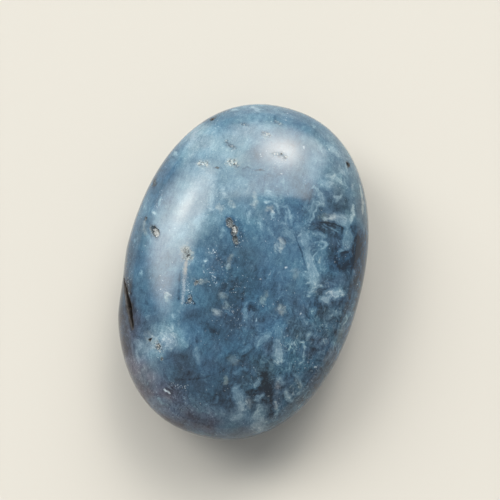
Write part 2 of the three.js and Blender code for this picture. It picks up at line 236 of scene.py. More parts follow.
PLUMES = strokes(
    # the long plume, its upper fringe and its spurs
    (44, 9, (102, 83, 9), (109, 68, 12), (115, 56, 9)),
    (56, 6, (117, 52, 8), (125, 35, 10)),
    (66, 4.5, (128, 30, 9), (134, 19, 10.5), (141, 9, 12), (144, 0, 13), (146, -8, 10)),
    (62, 5, (146, -12, 7), (144, -22, 6), (141, -33, 3)),
    (36, 9, (136, 64, 8), (146, 46, 10), (156, 26, 8)),
    (55, 1.6, (120, 9, 0.8), (129, 10, 1.4), (136, 13, 1.2)),
    (55, 1.6, (121, -2, 0.8), (130, -2, 1.4), (138, 1, 1.4)),
    (50, 1.6, (127, -12, 0.8), (135, -10, 1.4), (141, -6, 1.4)),
    (70, 2, (154, -6, 3.5), (164, -8.5, 1.5)),
    (34, 6, (122, 2, 4), (136, 2, 7)),
    # the loop beside it
    (50, 6, (119, 88, 4), (129, 92, 6), (139, 89, 5)),
    (86, 2.4, (135, 80, 1.6), (144, 79, 3.4), (151, 76, 2.2)),
    (74, 2.2, (148, 76, 2.4), (146, 68, 2.6), (140, 59, 1.8), (134, 50, 1.8), (129, 42, 1.4)),
    (62, 1.8, (124, 72, 1), (133, 76, 1.6), (142, 75, 1.2)),
    (58, 1.6, (126, 64, 0.8), (136, 69, 1.4), (143, 70, 1)),
    (50, 1.6, (128, 57, 0.8), (136, 62, 1.2), (142, 63, 0.8)),
    (60, 2, (149, 54, 1), (146, 46, 2), (142, 35, 1.6)),
    # the hook, and the threads that hang from it
    (56, 6, (102, 179, 5), (113, 170, 8), (118, 160, 8), (120, 153, 6), (117, 148, 4), (106, 144, 1.5)),
    (75, 1.6, (112, 144, 1.4), (112, 136, 2), (109, 128, 2.2), (111, 120, 2.6), (108, 113, 2.4),
     (106, 106, 1.4)),
    (40, 4.5, (102, 152, 4), (102, 140, 5), (103, 126, 4.5), (103, 114, 4), (104, 102, 2.5)),
    (35, 4.5, (90, 144, 4), (93, 134, 5)),
    # the antler: its prong, its body and the leg below
    (72, 2.6, (180, 171, 3.5), (182, 164, 5), (185, 154, 5.5), (184, 144, 6), (182, 134, 7), (182, 124, 6),
     (183, 116, 4)),
    (72, 4, (134, 125, 2), (144, 128, 4.5), (155, 132, 8), (166, 132, 10), (176, 132, 10.5)),
    (55, 3, (152, 139, 3.5), (164, 141, 3.5), (178, 144, 3)),
    (74, 3.6, (184, 114, 8), (188, 104, 13), (187, 93, 13), (186, 84, 9)),
    (62, 2.5, (185, 79, 5), (180, 72, 4), (177, 63, 2.5)),
    (72, 2, (141, 174, 3.2), (147, 173, 4.8), (152, 178, 2.8), (154, 184, 1.6)),
    (55, 1.8, (147, 169, 3), (145, 163, 1.2)),
    # scratchy light lines under the slot
    (80, 1.6, (135, 113, 1), (152, 109.5, 1.4), (166, 108, 1)),
    (70, 1.6, (132, 109, 1), (147, 104.5, 1.3), (159, 103, 0.9)),
    (70, 1.4, (142, 105, 0.8), (168, 114, 1.2)),
    (70, 1.4, (164, 93, 0.9), (173, 84, 1.2)),
    (70, 1.4, (169, 93, 0.9), (179, 86, 1.2)),
    # lumpy patches down the right side
    (72, 5.5, (167, -32, 5), (176, -30, 9), (183, -22, 7)),
    (76, 5.5, (185, -16, 8), (194, -14, 9), (204, -8, 7)),
    (50, 5, (172, -19, 4), (182, -10, 4), (198, -2, 3)),
    (45, 1.4, (171, -40, 1), (178, -52, 1.4)),
    (50, 3.5, (186, -66, 3), (194, -56, 5), (203, -48, 5), (210, -42, 3)),
    (70, 1.6, (200, -54, 1.6), (214, -43, 0.6)),
    (70, 1.6, (200, -54, 1.6), (213, -59, 0.6)),
    (70, 1.6, (200, -54, 1.6), (202, -71, 0.6)),
    (70, 1.6, (200, -54, 1.6), (187, -49, 0.6)),
    (40, 1.4, (184, -43, 1), (192, -46, 1.4), (190, -54, 1)),
    (50, 1.2, (179, -82, 1), (186, -78, 1.2), (194, -74, 0.8)),
    (62, 4, (162, -105, 5), (160, -112, 3.5)),
    (58, 3, (189, -113, 4), (197, -109, 4.5)),
    (36, 6, (141, -78, 5), (150, -86, 6)),
    (50, 1.8, (180, -136, 1.2), (190, -132, 2), (200, -131, 1.2)),
    (50, 1.8, (179, -145, 1.2), (189, -142, 2), (199, -142, 1.2)),
    (50, 1.4, (183, -200, 0.8), (187, -208, 1.2), (183, -216, 0.8)),
    (36, 1.8, (56, -136, 1.2), (66, -144, 1.8), (66, -156, 1.6), (58, -166, 1.2)),
    (34, 1.8, (102, -62, 1.2), (114, -69, 1.8), (118, -81, 1.6), (112, -92, 1.2)),
    (34, 1.8, (154, -96, 1.2), (168, -89, 1.8), (176, -98, 1.6), (172, -108, 1.2)),
    (45, 3, (213, 44, 2.5), (215, 32, 3.5), (217, 22, 2.5)),
    (35, 1.5, (168, 5, 1), (182, 4, 1.4), (196, 7, 0.8)),
    (35, 5, (62, 83, 4), (74, 75, 8), (84, 67, 7)),
    (34, 8, (59, 56, 4), (62, 48, 9), (62, 40, 6), (59, 32, 2)),
    # curls above the middle
    (62, 2.6, (46, 124, 2), (56, 126, 3), (61, 119, 3), (67, 109, 2.8), (71, 101, 2.2), (73, 92, 1.5)),
    (48, 1.8, (53, 121, 1.5), (58, 112, 2), (58, 102, 2), (61, 92, 1.6)),
    (56, 2.2, (11, 123, 2.5), (23, 128, 2.8), (34, 125, 3), (39, 117, 2.6), (43, 108, 1.8)),
    (72, 3, (31, 111, 2), (31.5, 104, 4), (32, 96, 2.2)),
    (30, 3.5, (46, 84, 3), (56, 92, 5), (60, 84, 3)),
    (30, 4, (10, 92, 2.5), (14, 77, 4), (19, 68, 3)),
    (40, 3, (-11, 98, 2.5), (-13, 86, 3.5), (-10, 72, 3)),
    (35, 3, (32, 74, 3), (38, 66, 4)),
    (28, 4, (6, 174, 3), (8, 156, 3), (13, 136, 2)),
    (40, 7, (14, 140, 6), (26, 136, 9), (38, 139, 6)),
    (30, 4, (-78, 129, 5), (-70, 119, 5)),
    # patches low on the right
    (20, 7, (99, -108, 6), (106, -128, 8)),
    (60, 7, (105, -134, 7), (109, -146, 9)),
    (92, 6, (111, -152, 9), (114, -162, 11), (117, -172, 8)),
    (60, 6, (86, -129, 5), (78, -140, 9), (70, -152, 6)),
    (95, 2.2, (142, -122, 1.6), (153, -125, 2), (159, -134, 2.2), (160, -148, 2.2), (164, -158, 2),
     (157, -165, 1.6)),
    (85, 2.2, (127, -137, 1.8), (136, -132, 2.2), (144, -137, 1.5)),
    (66, 2.8, (150, -187, 2.5), (162, -192, 3.5), (171, -202, 3.5), (173, -214, 3.5), (167, -224, 3)),
    (58, 4.5, (126, -202, 5), (135, -209, 5)),
    (80, 3, (144, -223, 4), (150, -232, 5.5), (160, -237, 4)),
    (60, 3.5, (129, -249, 4), (136, -256, 3), (138, -270, 5)),
    (70, 2.8, (90, -216, 3), (88, -225, 5), (83, -232, 4)),
    (80, 2.5, (92, -257, 4), (96, -249, 5), (103, -243, 3.5)),
    (62, 11, (106, -270, 9), (105, -284, 14), (109, -298, 14), (116, -306, 9)),
    (76, 7, (50, -248, 9), (57, -258, 13), (64, -270, 11), (72, -282, 6)),
    (40, 6, (72, -292, 8), (58, -300, 7)),
    (50, 2.2, (18, -269, 2), (19, -279, 3)),
    (40, 2.2, (132, -98, 1.4), (142, -104, 1.8), (145, -114, 1.8), (139, -122, 1.4)),
    (36, 2.2, (172, -126, 1.4), (182, -122, 2), (190, -128, 1.8), (189, -137, 1.4)),
    (36, 2.2, (129, -166, 1.4), (138, -171, 2), (140, -181, 1.8), (132, -189, 1.4)),
    (34, 2.2, (176, -172, 1.4), (170, -181, 1.8), (159, -180, 1.4)),
    (32, 2.4, (72, -178, 1.4), (82, -183, 2), (92, -179, 1.6)),
    (48, 2.4, (40, -217, 3), (47, -209, 3.5), (56, -204, 3), (61, -207, 2.5)),
    (30, 5, (52, -164, 5), (43, -174, 5)),
    (58, 3, (24, -85, 3.5), (26, -95, 5), (32, -106, 6), (36, -118, 4)),
    (38, 2, (43, -72, 1.8), (31, -76, 2.2), (24, -84, 3)),
    (30, 4, (44, -99, 4), (38, -130, 5)),
    (35, 1.2, (82, -43, 1), (94, -40, 1.4), (110, -42, 1)),
    (55, 1.5, (53, -103, 1.5), (54.5, -109, 2.5), (55, -114, 1.2)),
    # spots on the left half
    (30, 5, (-24, -78, 4), (-20, -83, 4), (-15, -78, 4)),
    (34, 4.5, (-31, -111, 2.5), (-23, -113, 5), (-17, -112, 3)),
    (20, 5, (-12, -90, 3), (-9, -99, 5)),
    (16, 5, (-27, -10, 3.5), (-26, -20, 5)),
    (55, 1.4, (-9, -106, 1.4), (-2, -109, 2), (3, -113, 1.4)),
    (38, 3, (-6, -106, 3.5), (2, -111, 3.5)),
    (40, 3.5, (-54, 49, 5), (-56, 35, 3)),
    (80, 2.5, (-75, -20, 3), (-72, -19, 3)),
    (50, 3, (-194, 188, 3.5), (-186, 183, 3.5)),
    (60, 2.2, (-193, 89, 2.5), (-194, 76, 2.2)),
    (75, 2.2, (-202, 57, 3), (-196, 53, 3.5)),
    (60, 2.2, (-224, -4, 3), (-222, -8, 2.5)),
    (60, 2.8, (-191, -69, 4), (-188, -73, 3.5)),
    (30, 5, (-96, 126, 5), (-93, 106, 7), (-89, 84, 4)),
    (30, 5, (-186, -188, 4), (-172, -198, 6), (-158, -206, 8)),
    (34, 12, (-136, -172, 6), (-112, -178, 13), (-98, -190, 10)),
    (45, 2.2, (-166, -208, 2), (-158, -226, 3), (-150, -240, 2)),
    (40, 2, (-176, -202, 1.5), (-168, -224, 2.2), (-160, -238, 1.5)),
    (50, 4, (-46, -192, 4), (-40, -205, 6), (-33, -216, 3)),
    (34, 2.2, (-20, -274, 1.4), (-17, -284, 2.4), (-19, -292, 1.4)),
    (36, 2.2, (-44, -286, 1.4), (-40, -294, 2.2)),
    (36, 2.2, (-116, -254, 1.4), (-112, -266, 2)),
    (34, 3, (6, -296, 2.5), (14, -306, 3.5)),
    (34, 3, (29, -287, 2.5), (36, -298, 4), (32, -309, 2.5)),
    (34, 2.5, (-68, -302, 2), (-56, -309, 2.5)),
    (35, 3.5, (-74, -182, 5), (-66, -188, 4)),
    (40, 2.2, (-156, -152, 3), (-153, -158, 2)),
    (45, 2.5, (-107, -140, 3.5), (-103, -143, 3)),
    (35, 3, (-102, -156, 3), (-100, -166, 2.5)),
    (45, 5, (-68, 320, 4), (-54, 316, 8)),
    (40, 4, (-104, 306, 5), (-95, 307, 5)),
    # pale clouds of the upper right
    (50, 7, (111, 190, 6), (122, 195, 9), (132, 200, 5)),
    (42, 6, (116, 210, 3), (132, 214, 8), (146, 209, 7), (158, 203, 3)),
    (35, 6, (131, 239, 4), (144, 232, 8), (152, 224, 4)),
    (40, 6, (106, 277, 5), (118, 270, 8), (128, 263, 5)),
    (40, 3, (62, 313, 3), (66, 309, 2.5)),
    (30, 3, (145, 256, 2), (149, 244, 2.5), (155, 234, 1.5)),
)
TANS = strokes(
    (50, 5, (-13, 134, 3.5), (-9, 124, 4.5), (-6, 112, 4)),
    (60, 3.5, (18, 109, 2.5), (20, 115, 3.5), (26, 116, 4), (30, 110, 3)),
    (50, 5, (-26, -77, 3.5), (-20, -82, 5), (-15, -78, 4.5)),
    (50, 4.5, (-31, -111, 3), (-23, -113, 5.5), (-17, -112, 3.5)),
    (45, 5, (-12, -90, 2.5), (-9, -98, 5)),
    (62, 9, (59, 57, 4), (62, 49, 8), (62, 40, 6)),
    (55, 5, (-25, 3, 2), (-27, -10, 3.5), (-26, -20, 6)),
    (30, 5.5, (105, 3, 7), (108, -5, 6)),
    (55, 6, (59, -55, 3.5), (56, -70, 5)),
    (60, 7, (94, -74, 6), (99, -80, 7)),
    (50, 4.5, (-76, 93, 4.5), (-68, 89, 5)),
    (45, 5, (-54, 104, 4.5), (-47, 101, 4.5)),
    (40, 4, (-74, -63, 2.5), (-60, -59, 2.5)),
    (90, 8, (-115, -7, 10), (-108, -18, 12)),
    (55, 2.2, (-109, -219, 2), (-107, -227, 2.5)),
    (40, 2, (145, 47, 1.5), (144, 36, 2)),
    (45, 6, (124, 126, 5), (136, 129, 7), (150, 132, 6)),
    (30, 6, (26, -194, 8), (34, -196, 7)),
    (90, 3.5, (184, 220, 3), (192, 202, 4), (199, 182, 4), (204, 165, 2.5)),
    (30, 6, (224, -50, 4), (222, -80, 6), (214, -115, 5), (206, -140, 4)),
    (45, 5, (-213, 34, 3), (-209, 20, 4.5), (-202, 8, 3)),
    (25, 7, (-136, 170, 7), (-123, 172, 9)),
    (25, 6, (-78, 187, 8), (-66, 187, 8)),
    (15, 6, (-28, 265, 5), (-17, 262, 8)),
    (45, 3, (-108, -32, 3.5), (-106, -46, 3)),
    (50, 4, (-129, -102, 4.5), (-124, -110, 5)),
    (45, 4, (169, 213, 2.5), (172, 202, 3)),
    (65, 3, (24, -231, 3), (27, -239, 4)),
    (35, 5, (79, -260, 5), (82, -274, 5)),
    (40, 5, (126, -212, 4), (128, -226, 4)),
    (50, 3, (130, -249, 2.5), (134, -260, 2.5)),
    (35, 4, (158, -196, 4), (170, -208, 4)),
    (30, 6, (-146, -186, 7), (-130, -200, 10)),
    (35, 3, (-94, -300, 3), (-86, -306, 3), (-72, -308, 2.5)),
)
DARKS = strokes(
    (95, 6, (206, 114, 3), (212, 100, 6), (214, 80, 8), (208, 64, 7)),
    (65, 6, (176, 50, 6), (190, 46, 9), (208, 52, 8)),
    (85, 1.8, (173, 59, 1.4), (182, 69, 2), (194, 74, 1.8)),
    (45, 4.5, (120, 142, 4), (126, 134, 6), (120, 118, 4)),
    (50, 7, (134, 160, 8), (154, 154, 9), (168, 164, 9), (164, 182, 8)),
    (60, 2, (62, 64, 1), (68, 58, 1.8), (73, 51, 1.2)),
    (90, 1.6, (122, 113, 1.2), (131, 116, 2), (142, 119, 1.8), (154, 121, 1.5), (174, 119, 1.2)),
    (50, 3.5, (116, 109, 3), (130, 109, 4.5), (150, 115, 3), (170, 114, 2)),
    (35, 4.5, (120, 102, 4), (140, 100, 5), (160, 98, 5), (172, 94, 4)),
    (35, 4, (129, 81, 3), (134, 72, 4), (133, 62, 4)),
    (35, 4, (156, -22, 4), (163, -18, 5), (173, -10, 4)),
    (45, 4.5, (186, -41, 4), (196, -31, 5), (208, -26, 4)),
    (50, 6, (218, 10, 6), (218, -30, 7), (213, -60, 5)),
    (50, 6, (156, -36, 6), (170, -54, 8), (176, -70, 5)),
    (95, 6, (91, -204, 2.5), (99, -214, 6), (105, -224, 8.5), (113, -232, 7), (118, -242, 4),
     (124, -256, 3), (128, -268, 4), (133, -278, 3.5)),
    (90, 4, (97, -232, 5), (84, -240, 4.5), (72, -244, 3)),
    (90, 2.5, (106, -253, 3), (114, -256, 4)),
    (55, 5, (84, -254, 4), (89, -270, 3), (88, -284, 4)),
    (45, 8, (-33, -148, 9), (-18, -150, 9)),
    (60, 2.2, (-50, -169, 2), (-48, -177, 2)),
    (45, 4.5, (36, -82, 6), (38, -89, 5)),
    # Painted shade along the left rim beside the crevice.
    (50, 6, (-216, -90, 4), (-206, -98, 6), (-200, -110, 5)),
    (45, 5, (-230, -84, 3), (-227, -100, 4), (-220, -124, 4)),
    (36, 5, (-193, -116, 3), (-188, -136, 4), (-184, -154, 3)),
    (75, 6, (-219, 128, 5), (-215, 114, 6)),
    (60, 3.5, (-215, 43, 2.5), (-209, 37, 2.5)),
    (60, 4.5, (-95, 230, 3), (-91, 223, 5.5), (-82, 220, 4), (-74, 220, 2)),
    (75, 4, (-79, 276, 3), (-65, 274, 3.5)),
    (65, 4.5, (-16, 308, 3), (-12, 296, 4), (2, 292, 3.5)),
    (45, 4, (-42, 296, 3), (-38, 286, 3)),
    (60, 3.5, (-33, 267, 3), (-22, 267, 2.5), (-14, 260, 3.5)),
    (60, 3, (-105, 169, 2), (-92, 170, 2)),
    (80, 1.4, (-50, 179, 0.8), (-40, 186, 1.6), (-26, 182, 1.6), (-14, 187, 1.6), (-4, 185, 0.8)),
    (80, 1.4, (88, 71, 1), (96, 58, 1.5), (106, 44, 1.7), (116, 28, 1.6), (126, 12, 0.8)),
    # Painted shade in and around the middle chain of hollows, and across the necks between them.
    (85, 4, (-53, 75, 3), (-44, 76, 4), (-37, 66, 3.5)),
    (55, 3.5, (-54, 67, 2), (-52, 58, 3), (-42, 52, 3)),
    (90, 4.5, (-36, 48, 3.5), (-29, 38, 5), (-21, 26, 3.5)),
    (60, 7, (-26, 64, 5), (-20, 50, 5), (-18, 38, 4)),
    (95, 2.2, (-43, 62, 5.5), (-39, 58, 6), (-34, 47, 5.5), (-28, 40, 5)),
    (65, 4, (-199, 30, 3), (-190, 30, 3.5), (-183, 22, 3)),
    (55, 3.5, (-199, 17, 2), (-189, 6, 2.5), (-176, 3, 2.5)),
    (100, 7, (-115, -7, 9), (-108, -18, 11)),
    (30, 4, (-88, -99, 6), (-79, -104, 5)),
    (100, 1.8, (-90, -109, 1.8), (-84, -92, 2), (-72, -107, 2), (-88, -109, 1.8)),
    (45, 3, (-82, -65, 4), (-78, -71, 3)),
    (60, 2.5, (-115, -50, 1.5), (-110, -80, 2), (-104, -106, 2)),
    (45, 3.5, (-164, -126, 3), (-162, -128, 2)),
    (34, 1.2, (-96, -261, 0.8), (-62, -256, 1.4), (-34, -248, 1.6), (-14, -241, 1.6), (4, -229, 1.4),
     (20, -213, 1)),
    (60, 1.8, (-66, 184, 3), (-59, 180, 2)),
    (60, 1.8, (-120, 172, 2.5), (-115, 175, 1.5)),
)
# Sparkles: painted glints, small white spots of light put into the stone's colour.
SPARKLES = strokes(
    (62, 1.4, (83, 7, 1.8), (85.5, 8, 1.4)),
    (64, 0.8, (30, -24, 0.8), (30, -26, 1)),
    (64, 0.8, (41.5, -28, 1), (43, -28, 0.8)),
    (72, 1, (-63.5, 3.5, 1), (-62.5, 2.5, 1)),
    (77, 1, (-59.5, 0, 1.4), (-57.5, 0, 1)),
    (64, 0.8, (-54, -1, 0.8), (-53, -1.5, 0.6)),
    (59, 1, (-69.5, -41, 1), (-67.5, -44, 1)),
    (59, 0.8, (-51.5, -46, 0.8), (-49.5, -46.5, 0.8)),
    (64, 0.8, (-46.5, -47, 1), (-45, -47, 0.8)),
    (51, 0.8, (-43, -59.5, 0.8), (-42, -59.5, 0.6)),
    (51, 0.8, (-37.5, -24, 1), (-37, -25, 0.8)),
    (55, 0.8, (-91, -84, 1), (-89, -84, 1)),
    (55, 0.8, (-83, -84, 1), (-81, -85, 0.6)),
    (51, 0.8, (-84, -94, 0.8), (-83, -96, 0.6)),
    (51, 0.8, (-93, -72, 0.8), (-92, -73, 0.6)),
    (47, 0.8, (-79, -108, 0.8), (-77, -108, 0.6)),
    (51, 1, (54, -105, 0.8), (54.5, -111, 1.1)),
    (72, 1, (186, -163, 0.8), (191, -161, 1.1)),
    (38, 1.2, (55, 258, 1.9), (56, 256, 1.8)),
    (80, 1.4, (-88, -279, 1.6), (-84, -282, 2.4), (-79, -282, 1.8), (-74, -285, 1.8)),
    (26, 1.2, (-142, -96, 0.6), (-130, -98, 1.3), (-120, -102, 1.1)),
    (51, 1, (-63, -270, 0.8), (-61, -272, 0.8)),
    (55, 1, (-49.5, -266, 1), (-48, -268, 0.8)),
    (51, 1, (134, -73, 1.1), (135, -71, 1)),
    (59, 0.8, (109, -246, 0.6), (115, -241, 0.8)),
    (51, 0.8, (-207, -111, 0.8), (-204, -113, 0.8)),
    (47, 0.8, (11, -59, 0.6), (12.5, -65, 0.7)),
    (38, 0.8, (-216, -90, 0.8), (-213, -92, 0.6)),
    (68, 1, (-129.5, 171.5, 1.4), (-127.5, 170.5, 1.3)),
    (47, 1, (-122, -203, 1.3), (-118, -203, 1)),
)
SANDS = strokes(
    (80, 7, (-113, -9, 8), (-108, -18, 9)),
    (70, 4, (-109, -13, 7), (-106, -20, 6)),
    (90, 5, (-136, 171, 5), (-125, 173, 7)),
    (90, 5, (-77, 187, 6), (-66, 186, 7)),
    (85, 6, (2, 226, 3), (18, 229, 6), (30, 224, 3)),
    (80, 5, (-27, 263, 5), (-19, 262, 6)),
    (60, 4, (-95, 229, 4), (-89, 222, 5), (-79, 220, 4)),
    (50, 3.5, (-76, 275, 3), (-66, 274, 4)),
    (45, 3.5, (-14, 300, 3), (-2, 294, 4)),
    (35, 5, (-133, -101, 3), (-121, -104, 3)),
    (75, 4, (-83, -98, 4), (-81, -104, 6)),
    (60, 5, (-79, -64, 5), (-70, -60, 4)),
    (85, 5, (-124, -200, 6), (-116, -208, 7)),
)
# Swarms: where finer painted glints gather.
GLINT_SWARMS = strokes(
    (85, 7, (-68, 6, 6), (-60, 1, 7), (-49, -6, 8)),
    (75, 9, (-59, -34, 8), (-50, -49, 10), (-43, -62, 7)),
    (55, 9, (-34, -38, 8), (-14, -56, 10), (9, -62, 9)),
    (80, 6, (-95, -62, 5), (-90, -82, 7), (-80, -106, 9)),
    (70, 6, (-222, -66, 5), (-214, -82, 6), (-209, -96, 4)),
    (70, 7, (-196, 98, 6), (-194, 84, 7), (-198, 66, 5)),
    (75, 7, (-19, 49, 5), (-14, 36, 8), (-19, 24, 6)),
    (70, 6, (-149, -93, 5), (-134, -97, 6), (-120, -103, 5)),
    (75, 6, (-69, -266, 5), (-58, -269, 7), (-46, -266, 6)),
    (80, 7, (-129, -194, 6), (-120, -206, 8), (-110, -222, 6)),
    (60, 9, (172, -152, 7), (184, -166, 9)),
    (80, 8, (4, -98, 5), (22, -110, 8), (30, -126, 7)),
    (60, 9, (-8, -104, 6), (4, -114, 7)),
    (55, 10, (126, -260, 9), (144, -248, 10)),
    (45, 10, (-164, -236, 9), (-134, -274, 10)),
)
MARKINGS = {"plume": PLUMES, "tan": TANS, "dark": DARKS, "sparkle": SPARKLES, "sand": SANDS, "swarm": GLINT_SWARMS}
THIN_MARK = 0.3  # half width under which a stroke needs a finer mesh

# How many guessed markings of each kind the hidden underside has.
UNDER_STROKES = {"plume": 26, "tan": 10, "dark": 12, "sparkle": 10, "sand": 4, "swarm": 8}

FAR = 9.0  # stands for a place well away from a hollow or stroke

noise.seed_set(NOISE_SEED)


def smoothstep(low, high, value):
    """Rises smoothly from 0 to 1 as the value goes from low to high."""
    share = np.clip((value - low) / (high - low), 0, 1)
    return share * share * (3 - 2 * share)


def reach(offset):
    """How far out points lie, from their offsets from the stone's centre: 1 on the polished surface."""
    scaled = np.abs(offset / HALF)
    plan = scaled[..., 0] ** PLAN_POWER + scaled[..., 1] ** PLAN_POWER
    return (plan ** (PROFILE_POWER / PLAN_POWER) + scaled[..., 2] ** PROFILE_POWER) ** (1 / PROFILE_POWER)


def pressed(points):
    """Points moved along their rays from the centre onto the polished surface."""
    offset = points - CENTRE
    return CENTRE + offset / reach(offset)[..., None]


def normals_at(points):
    """Outward normals of the polished surface, from the slope of reach."""
    offset = points - CENTRE
    scaled = np.abs(offset / HALF)
    plan = np.maximum(scaled[..., 0] ** PLAN_POWER + scaled[..., 1] ** PLAN_POWER, 1e-12)
    factor = plan ** (PROFILE_POWER / PLAN_POWER - 1)
    slope = np.stack(
        [
            factor * scaled[..., 0] ** (PLAN_POWER - 1) / HALF[0],
            factor * scaled[..., 1] ** (PLAN_POWER - 1) / HALF[1],
            scaled[..., 2] ** (PROFILE_POWER - 1) / HALF[2],
        ],
        axis=-1,
    ) * np.sign(offset)
    return slope / np.linalg.norm(slope, axis=-1, keepdims=True)


def face_point(x, y, side=1):
    """The surface point above (side 1) or below (side -1) a place in plan."""
    left = max(1 - float(reach(np.array([x, y, 0.0]))) ** PROFILE_POWER, 0)
    return np.array([x, y, MIDDLE_Z + side * HALF[2] * left ** (1 / PROFILE_POWER)])


def surface_frame(hollow, side):
    """The surface point at a hollow's middle, and its across, along and outward directions."""
    point = face_point(hollow.x, hollow.y, side)
    normal = normals_at(point)
    angle = math.radians(hollow.turn)
    along = np.array([math.sin(angle), math.cos(angle), 0])
    along -= normal * (along @ normal)
    along /= np.linalg.norm(along)
    return point, np.cross(along, normal), along, normal


def wobble(points, size, amount):
    """A smooth random shift for each point, with features of a size and up to an amount long."""
    return np.array([noise.noise_vector(Vector(p / size)) for p in points]) * amount


def shifted(starts, points, noises):
    """Starts moved by the smooth noises found at points."""
    return sum((wobble(points, size, amount) for size, amount in noises), starts)


def stroke_distance(points, stroke, side=1):
    """How deep each point lies inside a stroke: its half width less the distance to its line."""
    best = np.full(len(points), -FAR)
    stations = [(face_point(x, y, side), half) for x, y, half in stroke]
    for (start, start_half), (end, end_half) in zip(stations, stations[1:]):
        run = end - start
        share = np.clip((points - start) @ run / max(run @ run, 1e-9), 0, 1)
        away = np.linalg.norm(points - start - share[:, None] * run, axis=1)
        best = np.maximum(best, start_half + (end_half - start_half) * share - away)
    return best


def bowl(out):
    """A hollow's depth at a share of its half size from its middle, as a share of its full depth."""
    return 1 - BOWL_RISE * out**2


def hollow_depth(points, torn, hollow, side):
    """How deep a hollow goes at each point, and the share of its half size that the point is out."""
    centre, across, along, _ = surface_frame(hollow, side)
    offset = torn - centre
    near = np.linalg.norm(points - centre, axis=1) < hollow.long * 1.5 + 0.5
    out = np.hypot(offset @ across / (hollow.wide / 2), offset @ along / (hollow.long / 2))
    out = np.where(near, out, FAR)
    return hollow.deep * (bowl(np.clip(out, 0, 1)) * (1 - smoothstep(*HOLLOW_LIP, out))), out


def crack_depth(warped, crack):
    """How deep an open crack goes at each point, and how far inside its edge the point lies."""
    inside = stroke_distance(warped, crack["along"])
    widest = max(half for _, _, half in crack["along"])
    return crack["deep"] * smoothstep(-0.04, 0.6 * widest, inside), inside


def base_mesh():
    """The whole pebble as a mesh of quads, like a cube's grid pressed out to the stone's shape."""
    counts = np.array(CELLS)
    index = {}
    places = []

    def corner(cell):
        if cell not in index:
            index[cell] = len(places)
            places.append(np.tan(math.pi / 4 * (2 * np.array(cell) / counts - 1)) * HALF)
        return index[cell]

    quads = []
    for axis in range(3):
        first, second = (axis + 1) % 3, (axis + 2) % 3
        for level in (0, CELLS[axis]):
            for i in range(CELLS[first]):
                for j in range(CELLS[second]):
                    quad = []
                    for di, dj in ((0, 0), (1, 0), (1, 1), (0, 1)):
                        cell = [0, 0, 0]
                        cell[axis], cell[first], cell[second] = level, i + di, j + dj
                        quad.append(corner(tuple(cell)))
                    quads.append(quad if level else quad[::-1])
    mesh = bmesh.new()
    verts = [mesh.verts.new(p) for p in pressed(CENTRE + np.array(places))]
    for quad in quads:
        mesh.faces.new([verts[i] for i in quad])
    return mesh


def coordinates(mesh):
    return np.array([v.co for v in mesh.verts])


def refine(mesh, wanted):
    """Splits every face that has a wanted corner into four and presses the new corners out."""
    mesh.edges.index_update()
    mesh.edges.ensure_lookup_table()
    split = {e.index for v, keep in zip(mesh.verts, wanted) if keep for f in v.link_faces for e in f.edges}
    edges = [mesh.edges[i] for i in sorted(split)]
    bmesh.ops.subdivide_edges(mesh, edges=edges, cuts=1, use_grid_fill=True)
    for v, p in zip(mesh.verts, pressed(coordinates(mesh))):
        v.co = p


def near_detail(points, margin, thin_marks):
    """Which points lie close to a hollow or crack or, if asked, to a thin marking."""
    close = np.zeros(len(points), bool)
    for hollow, side in HOLLOWS:
        close |= hollow_depth(points, points, hollow, side)[1] < 1 + margin / hollow.wide * 2
    lines = [crack["along"] for crack in CRACKS.values()]
    if thin_marks:
        marks = [stroke for rows in MARKINGS.values() for _, _, stroke in rows]
        lines += [stroke for stroke in marks if min(half for _, _, half in stroke) < THIN_MARK]
    for line in lines:
        close |= stroke_distance(points, line) > -margin
    return close


def zone_values(points):
    """Paleness, violet, grey and curls at each point, blended from the zones around it."""
    total = np.full(len(points), 1e-6)
    blend = np.full((len(points), 4), 1e-7)
    drift = shifted(points, points, ZONE_DRIFT)
    for x, y, wide, tall, *values in ZONES:
        away = ((drift[:, 0] - x) / wide) ** 2 + ((drift[:, 1] - y) / tall) ** 2
        weight = np.exp(-1.6 * away)
        total += weight
        blend += weight[:, None] * (np.array(values) / 100)
    return blend / total[:, None]


def under_markings():
    """Guessed markings of the underside, by kind: strokes that wander, and short ones for the sparkles."""
    rng = random.Random(UNDER_SEED)
    marks = {}
    for kind, count in UNDER_STROKES.items():
        marks[kind] = []
        tiny = kind == "sparkle"
        for _ in range(count):
            angle = rng.uniform(0, 2 * math.pi)
            out = 0.85 * math.sqrt(rng.random())
            x, y = out * HALF[0] * math.cos(angle), out * HALF[1] * math.sin(angle)
            heading = rng.uniform(0, 2 * math.pi)
            half = rng.uniform(0.12, 0.2) if tiny else rng.uniform(0.3, 1)
            step = 1.3 * half
            stroke = []
            for _ in range(2 if tiny else rng.randint(2, 5)):
                stroke.append((x, y, half * rng.uniform(0.6, 1.2)))
                x, y = x + step * math.cos(heading), y + step * math.sin(heading)
                heading += rng.uniform(-0.7, 0.7)
            marks[kind].append((rng.uniform(0.35, 0.8), rng.uniform(0.2, 0.5), stroke))
    return marks


def marking_values(points, warped):
    """For each kind of marking: how far inside its nearest stroke a point lies, as a share of the stroke's
    softness and in millimetres, and the strength there, blended where strokes meet."""
    values = {}
    under = under_markings()
    for kind in MARKINGS:
        share, inside, weight, strength = np.full((4, len(points)), 1e-9)
        share[:] = inside[:] = -FAR
        for rows, side in ((MARKINGS[kind], 1), (under[kind], -1)):
            for own_strength, softness, stroke in rows:
                own = stroke_distance(warped, stroke, side)
                inside = np.where(own / softness > share, own, inside)
                share = np.maximum(share, own / softness)
                pull = np.exp(4 * np.clip(own / softness, -4, 2))
                weight += pull
                strength += pull * own_strength
        values[kind] = np.stack([share, strength / weight, inside], axis=1)
    return values


